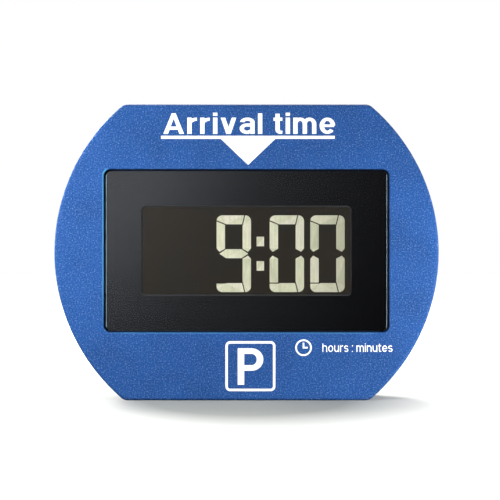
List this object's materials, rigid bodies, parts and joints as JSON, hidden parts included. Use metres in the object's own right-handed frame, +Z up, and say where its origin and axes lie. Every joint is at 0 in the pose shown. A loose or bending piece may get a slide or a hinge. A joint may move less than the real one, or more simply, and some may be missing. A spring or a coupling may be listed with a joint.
{
  "type": "electronic parking disc",
  "caption": "Flat-sided round parking disc for a windscreen, with a glossy window over a digital clock display, a sliding battery door and buttons on the back.",
  "frame": {"origin": "under the middle of the flat bottom edge, halfway through the depth", "axes": "+Z up, +X to the right as seen from the front, the display faces -Y, the battery door is on +Y"},
  "size_m": [0.1, 0.013, 0.077],
  "materials": {
    "shell_blue": "fine grained, matte, moulded",
    "shell_black": "fine grained, matte, moulded",
    "lens_clear": "clear polished acrylic",
    "mask_black": "black screen print behind the lens, glossy through it",
    "tape_black": "double-sided foam tape",
    "carrier_black": "satin moulded, bevelled lip",
    "polarizer_film": "grey tinted film",
    "lcd_glass": "thin float glass",
    "segment_lit": "cream, soft glow of the reflector through the cell",
    "segment_dark": "dark, the same as the field round the digits",
    "cell_seal": "epoxy bead",
    "reflector_film": "dark rear polarizer and reflector",
    "zebra_rubber": "layered conductive silicone",
    "board_green": "solder mask over glass fibre",
    "screw_steel": "zinc plated",
    "chip_black": "moulded epoxy",
    "tinned": "bright tin",
    "sensor_can": "ceramic package",
    "capacitor_tan": "ceramic chips with tinned ends",
    "resistor_black": "glazed film on ceramic",
    "button_grey": "satin silicone rubber",
    "switch_black": "moulded nylon",
    "switch_plunger": "moulded nylon",
    "cell_steel": "nickel plated, fine turned grain",
    "cell_gasket": "polypropylene ring",
    "cell_pack": "pressed cathode and separator",
    "print_white": "screen-printed ink, satin",
    "contact_nickel": "nickel plated spring bronze"
  },
  "bodies": {
    "case": {"adjust_switch_body": "switch_black", "buffer_capacitor": "capacitor_tan", "chip_capacitors": "capacitor_tan", "chip_resistors": "resistor_black", "coin_cell_can_1": "cell_steel", "coin_cell_can_2": "cell_steel", "coin_cell_cap_1": "cell_steel", "coin_cell_cap_2": "cell_steel", "coin_cell_electrodes_1": "cell_pack", "coin_cell_electrodes_2": "cell_pack", "coin_cell_gasket_1": "cell_gasket", "coin_cell_gasket_2": "cell_gasket", "controller_ic": "chip_black", "controller_leads": "tinned", "front_housing": "shell_blue", "housing_screws": "screw_steel", "lcd_carrier": "carrier_black", "lcd_front_glass": "lcd_glass", "lcd_front_polarizer": "polarizer_film", "lcd_rear_glass": "lcd_glass", "lcd_reflector": "reflector_film", "lcd_seal": "cell_seal", "lcd_segments_off": "segment_dark", "lcd_segments_on": "segment_lit", "lens_mask": "mask_black", "lens_tape": "tape_black", "main_pcb": "board_green", "motion_sensor": "sensor_can", "negative_contact_1": "contact_nickel", "negative_contact_2": "contact_nickel", "pcb_screws": "screw_steel", "positive_contact": "contact_nickel", "quartz_crystal": "tinned", "rear_housing": "shell_black", "set_switch_body": "switch_black", "window_lens": "lens_clear", "zebra_strip_lower": "zebra_rubber", "zebra_strip_upper": "zebra_rubber"},
    "battery_door": {"battery_door": "shell_black"},
    "set_button": {"set_button": "button_grey", "set_switch_plunger": "switch_plunger"},
    "adjust_button": {"adjust_button": "button_grey", "adjust_switch_plunger": "switch_plunger"}
  },
  "joints": [
    {"name": "battery_door_slide", "type": "slide", "parent": "case", "child": "battery_door", "axis": [0, 0, 1], "range_m": [0, 0.044]},
    {"name": "set_button_press", "type": "slide", "parent": "case", "child": "set_button", "axis": [0, -1, 0], "range_m": [0, 0.00035], "stiffness_N_per_m": 400},
    {"name": "adjust_button_press", "type": "slide", "parent": "case", "child": "adjust_button", "axis": [0, -1, 0], "range_m": [0, 0.00035], "stiffness_N_per_m": 400}
  ]
}
